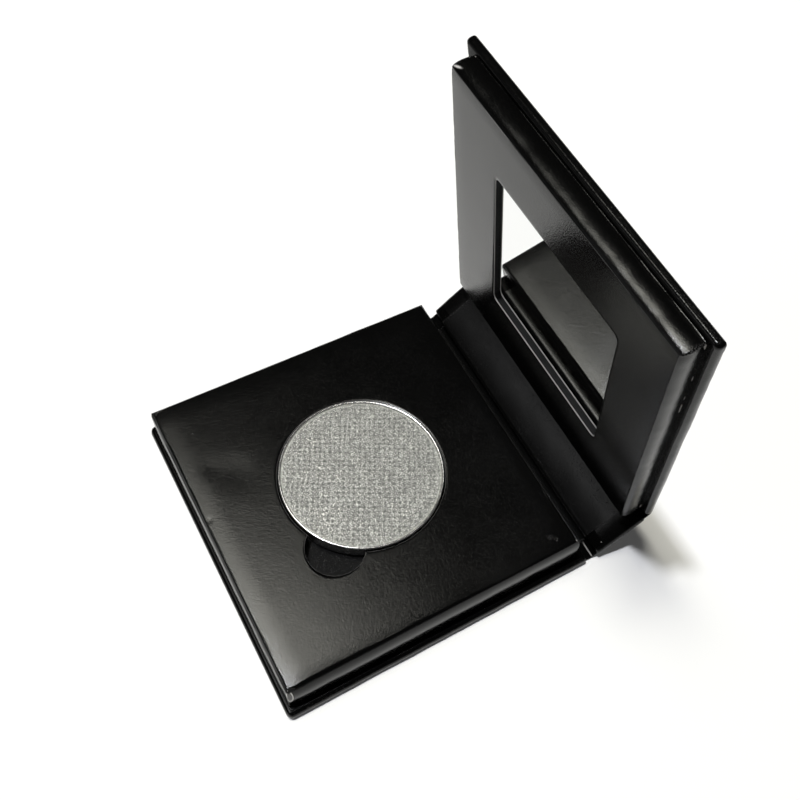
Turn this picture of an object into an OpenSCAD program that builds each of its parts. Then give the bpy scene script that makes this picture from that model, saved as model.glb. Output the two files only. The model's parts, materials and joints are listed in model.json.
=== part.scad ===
// Book-style magnetic compact of black paper-wrapped board: one round pan in a square
// tray, a spine panel, and a lid with a framed square mirror. Millimetres, +Z up.
// X runs along the hinge, -Y is the opening edge. The origin is on the underside of
// the base cover, below the centre of the tray.

/* [Covers] */
// Width of the tray and of the mirror frame, along the hinge
tray_w = 71.6; // [66:0.2:100]
// Length of the tray, from its front face to its back face
tray_l = 70; // [66:0.5:100]
// Mean width of the two cover ledges beside the tray
side_ledge = 1.75; // [1:0.05:3]
// Width of the cover ledge at the opening edge
front_ledge = 1; // [0.5:0.1:3]
// Sideways offset of the covers and the spine from the centre of the tray
cover_x = 0.8; // [-0.8:0.1:0.8]
// Thickness of the greyboard in the covers and in the spine
board_t = 1.8; // [1.2:0.1:2.5]
// Thickness of the black wrapping paper
paper_t = 0.25; // [0.15:0.05:0.35]
// Radius of the wrapped edges of the covers and the spine
cover_edge_r = 0.9; // [0.6:0.05:1]
// Width of the wrapping paper turned in over the inside of each board
turn_in = 4.5; // [3:0.5:8]
// Gap between the lining paper and the turned-in paper
liner_clear = 0.1; // [0.05:0.05:0.5]

/* [Hinge] */
// Gap between the tray and the spine when the case is shut
tray_back_clear = 1.95; // [0.5:0.05:6]
// Gap between the mirror frame and the spine when the case is shut
frame_foot_clear = 0.3; // [0.3:0.05:3]
// Radius of the rolled fold of paper along each crease
crease_r = 0.3; // [0.25:0.01:0.4]
// Gap between a rolled fold and the paper of the next board
crease_clear = 0.1; // [0.05:0.01:0.2]
// Gap that the folded boards keep between their corners
fold_clear = 0.1; // [0.05:0.01:0.3]
// Gap between the tray and the mirror frame when the case is shut
shut_gap = 0.1; // [0.05:0.01:0.3]
// Angle of the spine above the table
spine_tilt = 38.25; // [0:0.25:90]
// Angle of the lid from the spine's own direction
lid_fold = 60; // [0:0.25:90]

/* [Tray] */
// Height of the tray above the base cover
tray_h = 7.8; // [7:0.1:12]
// Radius of the soft upper edges of the tray
block_edge_r = 1.2; // [0.8:0.1:1.6]
// Radius of the upright corners of the tray and the frame
block_corner_r = 0.9; // [0.6:0.1:1.5]
// Thickness of the coarse sheet that floors the well
floor_t = 0.5; // [0.3:0.1:0.8]
// Sideways offset of the well from the centre of the tray
well_x = -0.45; // [-2:0.05:2]
// Offset of the well towards the hinge
well_y = 0.15; // [-2:0.05:2]
// Gap round the pan in its well
well_clear = 0.35; // [0.2:0.05:0.6]
// Diameter of the finger notch
notch_d = 13; // [9:0.5:16]
// Direction of the finger notch, counted from +X
notch_angle = -45; // [-60:1:-30]

/* [Pan] */
// Diameter of the pan over its rim
pan_d = 36.5; // [26:0.5:40]
// Height of the pan
pan_h = 4.4; // [3.6:0.1:5]
// Thickness of the pan's sheet metal
pan_wall = 0.3; // [0.2:0.05:0.4]
// Outer radius between the pan's floor and its wall
pan_corner_r = 0.9; // [0.6:0.1:1.2]
// Radius of the rolled rim bead
bead_r = 0.28; // [0.22:0.01:0.35]
// Height of the rim above the deck of the tray
pan_rise = 0.75; // [0.3:0.05:0.85]
// Gap between the pan and the floor of its well
pan_seat_gap = 0.05; // [0.02:0.01:0.1]
// Depth of the pressed pigment below the rim
pigment_drop = 0.35; // [0.2:0.05:0.8]

/* [Magnets] */
// Diameter of the magnet under the pan
well_magnet_d = 15; // [8:0.5:20]
// Thickness of the magnet under the pan
well_magnet_t = 1.5; // [1:0.1:1.6]
// Diameter of the closure magnets and their steel plates
closure_d = 6; // [4:0.5:7]
// Thickness of the closure magnets
closure_magnet_t = 1.5; // [1:0.1:2]
// Thickness of the closure plates
closure_plate_t = 0.8; // [0.5:0.1:1]
// Distance between the two closure magnets
closure_span = 44; // [36:1:52]

/* [Mirror] */
// Height of the mirror frame above the lid cover
frame_h = 5; // [4:0.1:6]
// Radius of the soft upper edges of the frame
frame_edge_r = 1.8; // [0.8:0.1:2.2]
// Sideways offset of the frame from the centre of the tray
frame_x = 0.6; // [-0.8:0.1:0.8]
// Margin that the square mirror window leaves round the pan
window_margin = 2.3; // [1:0.1:3]
// Radius of the window's corners
window_r = 1.6; // [0.5:0.1:4]
// Sideways offset of the window from the centre of the frame
window_x = 1.1; // [-2:0.1:2]
// Depth of the mirror's surface below the face of the frame
mirror_recess = 1; // [1:0.05:1.3]
// Thickness of the mirror
mirror_t = 1.2; // [0.8:0.1:1.3]
// Width of the mirror's border behind the frame
mirror_lip = 2; // [1.5:0.25:2.5]
// Thickness of the foam tape behind the mirror
tape_t = 0.5; // [0.3:0.05:0.7]
// Width of the tape's margin inside the mirror's edge
tape_margin = 3; // [1:0.5:6]

/* [Hidden] */
$fn = 64;
// Overshoot of a cut past the face that it opens
cut = 1;

case_t = board_t + 2 * paper_t;
edge_r = min(cover_edge_r, 0.45 * case_t);
cover_w = tray_w + 2 * side_ledge;
// The shut spine stands between the tray and the base crease
hinge_y = tray_l / 2 + tray_back_clear + case_t - crease_r;
cover_l = hinge_y + tray_l / 2 + front_ledge;
// The folded spine reaches case_t - crease_r over the cover beside it
board_setback = case_t - crease_r + fold_clear;
deck_z = case_t + tray_h;
spine_w = 2 * case_t + tray_h + frame_h + shut_gap - 2 * crease_r;

pan_floor_z = deck_z + pan_rise - pan_h;
well_floor_z = pan_floor_z - pan_seat_gap;
floor_bottom_z = well_floor_z - floor_t;
magnet_bottom_z = floor_bottom_z - well_magnet_t;
well_r = pan_d / 2 + well_clear;

frame_foot = case_t - crease_r + frame_foot_clear;
frame_l = cover_l - front_ledge - frame_foot;
frame_top = case_t + frame_h;
mirror_front = frame_top - mirror_recess;
mirror_back = mirror_front - mirror_t;
tape_back = mirror_back - tape_t;
window_side = pan_d + 2 * window_margin;
mirror_side = window_side + 2 * mirror_lip;
// The closure plates sit midway between the mirror and the free edge of the frame
closure_from_hinge = (hinge_y - well_y + mirror_side / 2 + cover_l - front_ledge) / 2;

board_color = [0.55, 0.52, 0.47];
paper_color = [0.07, 0.07, 0.07];
steel_color = [0.75, 0.75, 0.74];

// ---- shared shapes ----

// Rectangle from the origin to [a, b], with rounded lower and upper corners
module soft_rect(a, b, r_low, r_high) {
    difference() {
        square([a, b]);
        for (side = [0, 1]) translate([side * a, 0]) mirror([side, 0]) {
            if (r_high > 0) translate([0, b - r_high]) corner_waste(r_high);
            if (r_low > 0) translate([0, r_low]) mirror([0, 1]) corner_waste(r_low);
        }
    }
}

// What a round of radius r takes off the upper left corner of a square
module corner_waste(r) {
    difference() {
        translate([-cut, 0]) square([cut + r, r + cut]);
        translate([r, 0]) circle(r);
    }
}

// Slab w wide, centred on X, from y0 to y0 + l and from z0 to z0 + h, with rounded edges
module soft_slab(w, l, h, y0, z0, r_low, r_high, r_corner) {
    translate([-w / 2, y0, z0]) intersection() {
        translate([0, l, 0]) rotate([90, 0, 0]) linear_extrude(l) soft_rect(w, h, r_low, r_high);
        rotate([90, 0, 90]) linear_extrude(w) soft_rect(l, h, r_low, r_high);
        linear_extrude(h) soft_rect(w, l, r_corner, r_corner);
    }
}

// Plain block w wide, centred on X, from y0 to y1 and from z0 to z1
module plate(w, y0, y1, z0, z1) {
    translate([-w / 2, y0, z0]) cube([w, y1 - y0, z1 - z0]);
}

// ---- places: each local Y runs away from a crease and local Z = 0 is the outer face ----
// The covers and the spine are centred on their places, the frame on its own place

module in_base() {
    translate([cover_x, hinge_y, 0]) mirror([0, 1, 0]) children();
}

module in_spine() {
    translate([cover_x, hinge_y, crease_r]) rotate([spine_tilt, 0, 0])
        translate([0, 0, -crease_r]) children();
}

module in_lid() {
    in_spine() translate([0, spine_w, crease_r]) rotate([lid_fold, 0, 0])
        translate([0, 0, -crease_r]) children();
}

module in_frame() {
    in_lid() translate([frame_x - cover_x, 0, 0]) children();
}

// ---- covers: the same for the base and the lid ----

// Solid of a cover from its board's hinge edge to its free edge, taken in by inset
module cover_body(inset) {
    intersection() {
        soft_slab(cover_w - 2 * inset, 2 * cover_l - inset, case_t - 2 * inset, -cover_l, inset,
            edge_r - inset, edge_r - inset, edge_r - inset);
        plate(cover_w, board_setback, cover_l, 0, case_t);
    }
}

// The place of the lining paper: grow_xy opens it out to the turned-in paper
module cover_opening(grow_xy, grow_z) {
    plate(cover_w - 2 * turn_in - 2 * liner_clear + 2 * grow_xy, board_setback - grow_xy,
        cover_l - turn_in - liner_clear + grow_xy, case_t - paper_t, case_t + grow_z);
}

module cover_wrap() {
    difference() {
        union() {
            cover_body(0);
            plate(cover_w - 2 * edge_r, crease_r + crease_clear, board_setback + cut, 0, paper_t);
        }
        cover_body(paper_t);
        cover_opening(liner_clear, cut);
    }
}

// ---- base ----

module base_board() color(board_color) in_base() cover_body(paper_t);

module base_wrap() color(paper_color) in_base() cover_wrap();

module base_liner() color(paper_color) in_base() cover_opening(0, 0);

// ---- tray ----

module tray_core(z0, z1) {
    intersection() {
        soft_slab(tray_w - 2 * paper_t, tray_l - 2 * paper_t, tray_h - paper_t,
            paper_t - tray_l / 2, case_t, 0, block_edge_r - paper_t, block_corner_r - paper_t);
        plate(tray_w, -tray_l / 2, tray_l / 2, z0, z1);
    }
}

// The round well and its finger notch, from z0 to z1
module well(z0, z1) {
    translate([well_x, well_y, z0]) {
        cylinder(r = well_r, h = z1 - z0);
        rotate([0, 0, notch_angle]) translate([pan_d / 2, 0, 0])
            cylinder(d = notch_d, h = z1 - z0);
    }
}

// The magnet under the well, or its hole where grow takes it past both faces of its board
module magnet_in_well(grow) {
    translate([well_x, well_y, magnet_bottom_z - grow])
        cylinder(d = well_magnet_d, h = well_magnet_t + 2 * grow);
}

// A disc on each side of the centre line, at y and from z0 up to z0 + t
module closure_pair(y, z0, t) {
    for (side = [-1, 1]) translate([side * closure_span / 2, y, z0])
        cylinder(d = closure_d, h = t);
}

module magnets_in_tray() {
    closure_pair(hinge_y - closure_from_hinge, deck_z - paper_t - closure_magnet_t, closure_magnet_t);
}

module tray_bottom_board() color(board_color) tray_core(case_t, magnet_bottom_z);

module tray_magnet_board() color(board_color) difference() {
    tray_core(magnet_bottom_z, floor_bottom_z);
    magnet_in_well(cut);
}

module well_floor_sheet() color([0.2, 0.2, 0.19]) tray_core(floor_bottom_z, well_floor_z);

module tray_well_core() color([0.12, 0.12, 0.12]) difference() {
    tray_core(well_floor_z, deck_z - paper_t);
    well(well_floor_z - cut, deck_z);
    magnets_in_tray();
}

module tray_wrap() color(paper_color) difference() {
    soft_slab(tray_w, tray_l, tray_h, -tray_l / 2, case_t, 0, block_edge_r, block_corner_r);
    tray_core(case_t, deck_z - paper_t);
    well(deck_z - paper_t - cut, deck_z + cut);
}

module well_magnet() color("dimgray") magnet_in_well(0);

module closure_magnets() color("dimgray") magnets_in_tray();

// ---- pan ----

// Half section of a straight tub with a rounded lower corner
module tub_section(r, h, corner_r) {
    square([r - corner_r, h]);
    translate([0, corner_r]) square([r, h - corner_r]);
    intersection() {
        translate([r - corner_r, corner_r]) circle(corner_r);
        square([r, h]);
    }
}

module pan_section() {
    difference() {
        tub_section(pan_d / 2 - bead_r / 4, pan_h - bead_r, pan_corner_r);
        translate([0, pan_wall])
            tub_section(pan_d / 2 - bead_r / 4 - pan_wall, pan_h, pan_corner_r - pan_wall);
    }
    translate([pan_d / 2 - bead_r, pan_h - bead_r]) circle(bead_r);
}

module pan() color(steel_color) translate([well_x, well_y, pan_floor_z])
    rotate_extrude() pan_section();

module pressed_pigment() color([0.66, 0.66, 0.65]) translate([well_x, well_y, pan_floor_z])
    rotate_extrude() difference() {
        translate([0, pan_wall]) tub_section(pan_d / 2 - bead_r / 4 - pan_wall,
            pan_h - pigment_drop - pan_wall, pan_corner_r - pan_wall);
        pan_section();
    }

// ---- spine ----

// Solid of the spine between its board's edges, taken in by inset
module spine_body(inset) {
    intersection() {
        soft_slab(cover_w - 2 * inset, 3 * spine_w, case_t - 2 * inset, -spine_w, inset,
            edge_r - inset, edge_r - inset, 0);
        plate(cover_w, board_setback, spine_w - board_setback, 0, case_t);
    }
}

module spine_opening(grow_xy, grow_z) {
    plate(cover_w - 2 * turn_in - 2 * liner_clear + 2 * grow_xy, board_setback - grow_xy,
        spine_w - board_setback + grow_xy, case_t - paper_t, case_t + grow_z);
}

module spine_board() color(board_color) in_spine() spine_body(paper_t);

module spine_wrap() color(paper_color) in_spine() {
    difference() {
        spine_body(0);
        spine_body(paper_t);
        spine_opening(liner_clear, cut);
    }
    plate(cover_w - 2 * edge_r, crease_r / 2, spine_w - crease_r / 2, 0, paper_t);
    for (y = [0, spine_w]) translate([-cover_w / 2, y, crease_r]) rotate([0, 90, 0])
        cylinder(r = crease_r, h = cover_w);
}

module spine_liner() color(paper_color) in_spine() spine_opening(0, 0);

// ---- lid ----

module lid_board() color(board_color) in_lid() cover_body(paper_t);

module lid_wrap() color(paper_color) in_lid() cover_wrap();

module lid_liner() color(paper_color) in_lid() cover_opening(0, 0);

module frame_core(z0, z1) {
    intersection() {
        soft_slab(tray_w - 2 * paper_t, frame_l - 2 * paper_t, frame_h - paper_t,
            frame_foot + paper_t, case_t, 0, frame_edge_r - paper_t, block_corner_r - paper_t);
        plate(tray_w, frame_foot, cover_l, z0, z1);
    }
}

// Square with rounded corners over the pan's place, from z0 to z1
module over_pan(side, r, x, z0, z1) {
    translate([x - side / 2, hinge_y - well_y - side / 2, z0])
        linear_extrude(z1 - z0) soft_rect(side, side, r, r);
}

module window(z0, z1) over_pan(window_side, window_r, window_x, z0, z1);

module mirror_pocket() over_pan(mirror_side, 0, window_x, tape_back, mirror_front);

module plates_in_frame() {
    translate([-frame_x, 0, 0])
        closure_pair(closure_from_hinge, mirror_front - closure_plate_t, closure_plate_t);
}

module frame_back_board() color(board_color) in_frame() frame_core(case_t, tape_back);

module frame_mirror_board() color(board_color) in_frame() difference() {
    frame_core(tape_back, mirror_front);
    mirror_pocket();
    plates_in_frame();
}

module frame_face_board() color([0.3, 0.3, 0.29]) in_frame() difference() {
    frame_core(mirror_front, frame_top - paper_t);
    window(mirror_front - cut, frame_top);
}

module frame_wrap() color(paper_color) in_frame() difference() {
    soft_slab(tray_w, frame_l, frame_h, frame_foot, case_t, 0, frame_edge_r, block_corner_r);
    frame_core(case_t, frame_top - paper_t);
    window(frame_top - paper_t - cut, frame_top + cut);
}

module mirror_tape() color("black") in_frame()
    over_pan(mirror_side - 2 * tape_margin, 0, window_x, tape_back, mirror_back);

module mirror_glass() color([0.85, 0.87, 0.88]) in_frame()
    over_pan(mirror_side, 0, window_x, mirror_back, mirror_front);

module closure_plates() color(steel_color) in_frame() plates_in_frame();

base_board();
base_wrap();
base_liner();
tray_bottom_board();
tray_magnet_board();
well_floor_sheet();
tray_well_core();
tray_wrap();
well_magnet();
closure_magnets();
pan();
pressed_pigment();
spine_board();
spine_wrap();
spine_liner();
lid_board();
lid_wrap();
lid_liner();
frame_back_board();
frame_mirror_board();
frame_face_board();
frame_wrap();
mirror_glass();
mirror_tape();
closure_plates();
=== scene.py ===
import json
import math

import bpy
import numpy as np
from mathutils import Euler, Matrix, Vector

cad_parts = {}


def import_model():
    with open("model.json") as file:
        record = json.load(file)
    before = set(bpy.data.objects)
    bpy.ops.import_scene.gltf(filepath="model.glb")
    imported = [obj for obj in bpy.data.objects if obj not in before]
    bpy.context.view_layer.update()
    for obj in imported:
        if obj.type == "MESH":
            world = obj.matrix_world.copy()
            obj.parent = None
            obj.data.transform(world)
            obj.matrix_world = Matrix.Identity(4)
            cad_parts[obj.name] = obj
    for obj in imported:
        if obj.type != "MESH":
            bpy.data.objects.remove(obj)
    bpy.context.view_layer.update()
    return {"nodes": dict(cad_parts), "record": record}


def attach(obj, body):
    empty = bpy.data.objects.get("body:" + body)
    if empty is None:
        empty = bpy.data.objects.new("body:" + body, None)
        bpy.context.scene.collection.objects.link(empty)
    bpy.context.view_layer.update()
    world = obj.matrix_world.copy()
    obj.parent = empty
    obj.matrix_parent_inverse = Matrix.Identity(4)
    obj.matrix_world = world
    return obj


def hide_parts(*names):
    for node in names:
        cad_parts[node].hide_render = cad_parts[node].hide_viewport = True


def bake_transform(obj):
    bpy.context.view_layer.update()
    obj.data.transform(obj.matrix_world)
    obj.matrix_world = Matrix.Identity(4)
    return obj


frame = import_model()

# ---------------------------------------------------------------- sizes, mm, as in the part
TRAY_W, TRAY_L, SIDE_LEDGE, FRONT_LEDGE = 71.6, 70.0, 1.75, 1.0
COVER_X, FRAME_X = 0.8, 0.6
CASE_T, PAPER_T, TURN_IN, LINER_CLEAR = 2.3, 0.25, 4.5, 0.1
EDGE_R, BLOCK_CORNER_R = 0.9, 0.9
CREASE_R, HINGE_Y, SPINE_W = 0.3, 38.95, 16.9
FOLD_INNER_R, FOLD_T = 0.32, 0.6
COVER_HALF = TRAY_W / 2 + SIDE_LEDGE
COVER_L = HINGE_Y + TRAY_L / 2 + FRONT_LEDGE
DECK = 10.1
FRAME_FOOT, FRAME_TOP = 2.3, 7.3
FRAME_L = COVER_L - FRONT_LEDGE - FRAME_FOOT
WINDOW, WINDOW_R, WINDOW_X = 41.1, 1.6, FRAME_X + 1.1
WELL = (-0.45, 0.15)
WELL_R, NOTCH_R, NOTCH_AT, NOTCH_ANGLE = 18.6, 6.5, 18.25, math.radians(-45)
PAN_R, PAN_H, PAN_FLOOR, BEAD_R, PAN_WALL, PAN_CORNER = 18.25, 4.4, 6.45, 0.28, 0.3, 0.9
PIGMENT_DROP = 0.35
FLOOR_Z = 6.4
TILT, FOLD = math.radians(38.25), math.radians(60)
M_PER_MM = 0.001


# ---------------------------------------------------------------- places
def in_base(s, z):
    """s mm from the base crease, z above the outer face of the base cover."""
    return np.stack([HINGE_Y - np.asarray(s, float), np.asarray(z, float) + 0 * np.asarray(s, float)], -1)


def turned(origin, angle, s, z):
    """The same places turned by angle about a crease at the origin."""
    s, z = np.broadcast_arrays(np.asarray(s, float), np.asarray(z, float) - CREASE_R)
    return np.stack([origin[0] + s * math.cos(angle) - z * math.sin(angle),
                     origin[1] + s * math.sin(angle) + z * math.cos(angle)], -1)


CREASE_1 = (HINGE_Y, CREASE_R)
CREASE_2 = tuple(turned(CREASE_1, TILT, SPINE_W, CREASE_R))


def in_spine(s, z):
    """s mm from the base crease along the spine, z above its outer face."""
    return turned(CREASE_1, TILT, s, z)


def in_spine_back(s, z):
    """The same, with s from the lid crease."""
    return in_spine(SPINE_W - s, z)


def in_lid(s, z):
    """s mm from the lid crease, z above the outer face of the lid."""
    return turned(CREASE_2, TILT + FOLD, s, z)


def on_circle(centre, r, angle):
    return centre[0] + r * math.cos(angle), centre[1] + r * math.sin(angle)


# ---------------------------------------------------------------- mesh helpers
def unit(v):
    return v / np.maximum(np.linalg.norm(v, axis=-1, keepdims=True), 1e-12)


def waves(p, length, seed, count=9):
    """Smooth, seeded unevenness of about -1 to 1 over points p in mm."""
    rng = np.random.default_rng(seed)
    total = np.zeros(p.shape[:-1])
    for _ in range(count):
        k = unit(rng.normal(size=3)) * 2 * math.pi / (length * rng.uniform(0.6, 1.7))
        total += np.sin(p @ k + rng.uniform(0, 2 * math.pi))
    return total / math.sqrt(count) / 1.3


def smooth(t):
    """A soft step from 0 to 1."""
    t = np.clip(t, 0, 1)
    return t * t * (3 - 2 * t)


def make(name, points, faces, material, sharp=35, **marks):
    """A mesh object from points in mm, with its rest place and its marks kept as attributes."""
    mesh = bpy.data.meshes.new(name)
    mesh.from_pydata((points * M_PER_MM).tolist(), [], faces)
    mesh.update()
    mesh.polygons.foreach_set("use_smooth", [True] * len(mesh.polygons))
    mesh.set_sharp_from_angle(angle=math.radians(sharp))
    rest = mesh.attributes.new("rest", "FLOAT_VECTOR", "POINT")
    rest.data.foreach_set("vector", points.astype(np.float32).ravel())
    for mark in ("wear", "cut", "bare"):
        values = np.broadcast_to(np.asarray(marks.get(mark, 0.0), np.float32), (len(points),))
        mesh.attributes.new(mark, "FLOAT", "POINT").data.foreach_set("value", np.ascontiguousarray(values))
    mesh.materials.append(material)
    obj = bpy.data.objects.new(name, mesh)
    bpy.context.scene.collection.objects.link(obj)
    return obj


def net(rows, cols, close_cols=True):
    """Quads of a rows by cols net of points."""
    return [(r * cols + c, r * cols + (c + 1) % cols, (r + 1) * cols + (c + 1) % cols, (r + 1) * cols + c)
            for r in range(rows - 1) for c in range(cols if close_cols else cols - 1)]


def normals_of(grid):
    """Smooth normals of a net of points that closes across."""
    around = np.roll(grid, -1, 1) - np.roll(grid, 1, 1)
    return unit(np.cross(around, np.gradient(grid, axis=0)))


# ---------------------------------------------------------------- materials
def nodes_of(name):
    mat = bpy.data.materials.new(name)
    mat.use_nodes = True
    tree = mat.node_tree
    tree.nodes.clear()
    return mat, tree


class Graph:
    """A short way to write node trees."""

    def __init__(self, name, rest=True):
        self.mat, self.tree = nodes_of(name)
        self.rest = rest
        self._place = None

    def put(self, socket, value):
        if isinstance(value, bpy.types.NodeSocket):
            self.tree.links.new(value, socket)
        else:
            socket.default_value = value

    def add(self, kind, inputs=None, out=0, **props):
        node = self.tree.nodes.new("ShaderNode" + kind)
        for key, value in props.items():
            setattr(node, key, value)
        for key, value in (inputs or {}).items():
            self.put(node.inputs[key], value)
        return node.outputs[out]

    def place(self):
        """Rest place in mm."""
        if self._place is None:
            if self.rest:
                self._place = self.add("Attribute", out="Vector", attribute_name="rest")
            else:
                here = self.add("TexCoord", out="Object")
                self._place = self.scaled(here, (1 / M_PER_MM,) * 3)
        return self._place

    def mark(self, name):
        return self.add("Attribute", out="Fac", attribute_name=name)

    def math(self, operation, a, b):
        return self.add("Math", {0: a, 1: b}, operation=operation)

    def noise(self, scale, detail, roughness, at=None):
        return self.add("TexNoise", {"Vector": at or self.place(), "Scale": scale, "Detail": detail,
                                     "Roughness": roughness}, out="Fac")

    def cells(self, scale, out, at=None):
        """A Voronoi pattern's distance to the nearest point, or its colour for each cell."""
        inputs = {"Vector": at or self.place(), "Scale": scale, "Randomness": 1.0}
        return self.add("TexVoronoi", inputs, out=out)

    def first(self, colour):
        return self.add("SeparateColor", {"Color": colour})

    def ramp(self, value, low, high, to_low=0.0, to_high=1.0):
        return self.add("MapRange", {"Value": value, "From Min": low, "From Max": high,
                                     "To Min": to_low, "To Max": to_high},
                        interpolation_type="SMOOTHSTEP")

    def mix(self, factor, a, b):
        """A colour between the colours a and b."""
        node = self.tree.nodes.new("ShaderNodeMix")
        node.data_type = "RGBA"
        for socket, value in ((node.inputs[0], factor), (node.inputs[6], a), (node.inputs[7], b)):
            self.put(socket, value)
        return node.outputs[2]

    def scaled(self, vector, by):
        return self.add("VectorMath", {0: vector, 1: by}, operation="MULTIPLY")

    def stretch(self, by):
        return self.scaled(self.place(), by)

    def bump(self, height, strength, distance):
        return self.add("Bump", {"Height": height, "Strength": strength, "Distance": distance * M_PER_MM})

    def surface(self, shader):
        out = self.tree.nodes.new("ShaderNodeOutputMaterial")
        self.tree.links.new(shader, out.inputs[0])
        return self.mat

    def finish(self, **inputs):
        named = {key.replace("_", " "): value for key, value in inputs.items()}
        return self.surface(self.add("BsdfPrincipled", named))


def grey(v, warm=0.0):
    """A grey with its red raised and its blue lowered by a share."""
    return (v * (1 + warm), v, v * (1 - warm), 1)


def paper(name, shade, rough, grain, seed, ior=1.34):
    """Coated black paper: fine felt grain, matte flecks, faint rubbing, dust, and scuffs where it is worn.

    The cut mark shows the board's edge, and the bare mark the pale board under torn paper, and at the frame's
    far left corner a painted highlight on a worn crease."""
    g = Graph(name)
    shifted = g.add("VectorMath", {0: g.place(), 1: (seed * 31.0, seed * 17.0, seed * 7.0)}, operation="ADD")
    felt = g.noise(3.3, 2, 0.6, at=shifted)
    fibre = g.noise(1.6, 3, 0.55, at=g.stretch((1.0, 0.3, 0.3)))
    rubbed = g.noise(0.11, 3, 0.55, at=shifted)
    # dust: a few small bright points
    dust = g.cells(0.12, "Distance", shifted)
    limit = g.ramp(g.noise(0.35, 1, 0.5, at=shifted), 0.5, 0.85, 0.002, 0.02)
    speck = g.math("LESS_THAN", dust, limit)
    # scuffs: broken flecks where the wear mark is strong
    wear = g.mark("wear")
    fleck = g.noise(4.4, 4, 0.7, at=shifted)
    worn = g.ramp(g.math("ADD", wear, g.math("MULTIPLY", g.ramp(fleck, 0.36, 0.66), 0.9)), 1.05, 1.35)
    cut = g.mark("cut")
    tone = g.mix(felt, grey(shade * 0.7), grey(shade * 1.4, 0.02))
    tone = g.mix(g.math("MULTIPLY", worn, 0.7), tone, grey(0.22, 0.03))
    tone = g.mix(g.math("MULTIPLY", speck, 0.8), tone, grey(0.5, 0.03))
    tone = g.mix(cut, tone, grey(0.34, 0.03))
    # the bare mark: pale board under torn paper, and at the frame's far left corner a painted highlight
    tone = g.mix(g.mark("bare"), tone, grey(0.80, 0.03))
    roughness = g.math("ADD", g.ramp(rubbed, 0.3, 0.7, rough - 0.012, rough + 0.015),
                       g.math("MULTIPLY", g.math("MAXIMUM", worn, cut), 0.35))
    matte = g.ramp(g.noise(3.0, 3, 0.7, at=shifted), 0.42, 0.66, 0.0, 0.09)
    roughness = g.math("ADD", roughness, matte)
    height = g.math("ADD", felt, g.math("MULTIPLY", fibre, 0.25))
    height = g.math("SUBTRACT", height, g.math("MULTIPLY", worn, 0.8))
    return g.finish(Base_Color=tone, Roughness=roughness, Normal=g.bump(height, grain, 0.04), IOR=ior)


def greyboard():
    g = Graph("greyboard", rest=False)
    pulp = g.noise(1.6, 5, 0.65)
    layer = g.noise(1.0, 3, 0.6, at=g.stretch((0.15, 0.15, 6.0)))
    tone = g.mix(pulp, grey(0.26, 0.05), grey(0.46, 0.05))
    tone = g.mix(g.math("MULTIPLY", layer, 0.4), tone, grey(0.2, 0.05))
    return g.finish(Base_Color=tone, Roughness=0.9, Normal=g.bump(pulp, 0.6, 0.15))


def black_core():
    g = Graph("black_core", rest=False)
    layer = g.noise(1.0, 4, 0.6, at=g.stretch((0.3, 0.3, 9.0)))
    fuzz = g.noise(5.0, 4, 0.7)
    tone = g.mix(layer, grey(0.003), grey(0.010, 0.03))
    height = g.math("ADD", layer, g.math("MULTIPLY", fuzz, 0.6))
    return g.finish(Base_Color=tone, Roughness=g.ramp(fuzz, 0.3, 0.7, 0.6, 0.85), IOR=1.3,
                    Normal=g.bump(height, 0.7, 0.08))


def floor_sheet():
    g = Graph("floor_sheet", rest=False)
    cells = g.cells(6.0, "Distance")
    bright = g.cells(6.0, "Color")
    grain = g.noise(4.0, 4, 0.7)
    lit = g.ramp(g.first(bright), 0.45, 0.98)
    tone = g.mix(lit, grey(0.012), grey(0.45, 0.02))
    tone = g.mix(g.ramp(cells, 0.06, 0.26), tone, grey(0.006))
    height = g.math("SUBTRACT", g.math("MULTIPLY", grain, 0.6), cells)
    return g.finish(Base_Color=tone, Roughness=g.ramp(grain, 0.3, 0.7, 0.45, 0.75), IOR=1.3,
                    Normal=g.bump(height, 0.9, 0.18))


def tinplate():
    g = Graph("tinplate")
    turned_in = g.noise(1.0, 3, 0.6, at=g.stretch((0.4, 0.4, 14.0)))
    stain = g.noise(0.5, 4, 0.6)
    tone = g.mix(stain, grey(0.66, 0.01), grey(0.80, 0.015))
    roughness = g.math("ADD", g.ramp(stain, 0.3, 0.7, 0.14, 0.24), g.math("MULTIPLY", turned_in, 0.08))
    return g.finish(Base_Color=tone, Metallic=1.0, Roughness=roughness, Normal=g.bump(turned_in, 0.15, 0.03))


def pigment():
    """Pressed powder with a pearl shimmer over its linen emboss, and painted shade in the emboss's hollows
    and round its edge.
    """
    g = Graph("pigment")
    grain = g.noise(7.5, 3, 0.7)
    cloud = g.noise(0.14, 3, 0.55)
    flake = g.cells(7.0, "Color")
    flake_r = g.first(flake)
    glint = g.ramp(flake_r, 0.72, 0.98)
    # painted shade: the cut mark on the cake darkens the emboss's hollows and its edge by the pan's wall
    hollow_shade = g.mark("cut")
    tone = g.mix(g.ramp(grain, 0.36, 0.64), (0.15, 0.152, 0.138, 1), (0.50, 0.50, 0.455, 1))
    tone = g.mix(g.math("MULTIPLY", cloud, 0.3), tone, (0.30, 0.302, 0.28, 1))
    tone = g.mix(g.math("MULTIPLY", hollow_shade, 0.85), tone, (0.10, 0.101, 0.095, 1))
    tone = g.mix(g.math("MULTIPLY", glint, 0.8), tone, (0.86, 0.86, 0.80, 1))
    metal = g.ramp(glint, 0.0, 1.0, 0.16, 0.6)
    height = g.math("ADD", g.math("MULTIPLY", grain, 0.7), g.math("MULTIPLY", flake_r, 0.5))
    return g.finish(Base_Color=tone, Metallic=metal, Roughness=g.ramp(glint, 0.0, 1.0, 0.62, 0.34),
                    Normal=g.bump(height, 0.7, 0.07))


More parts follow.
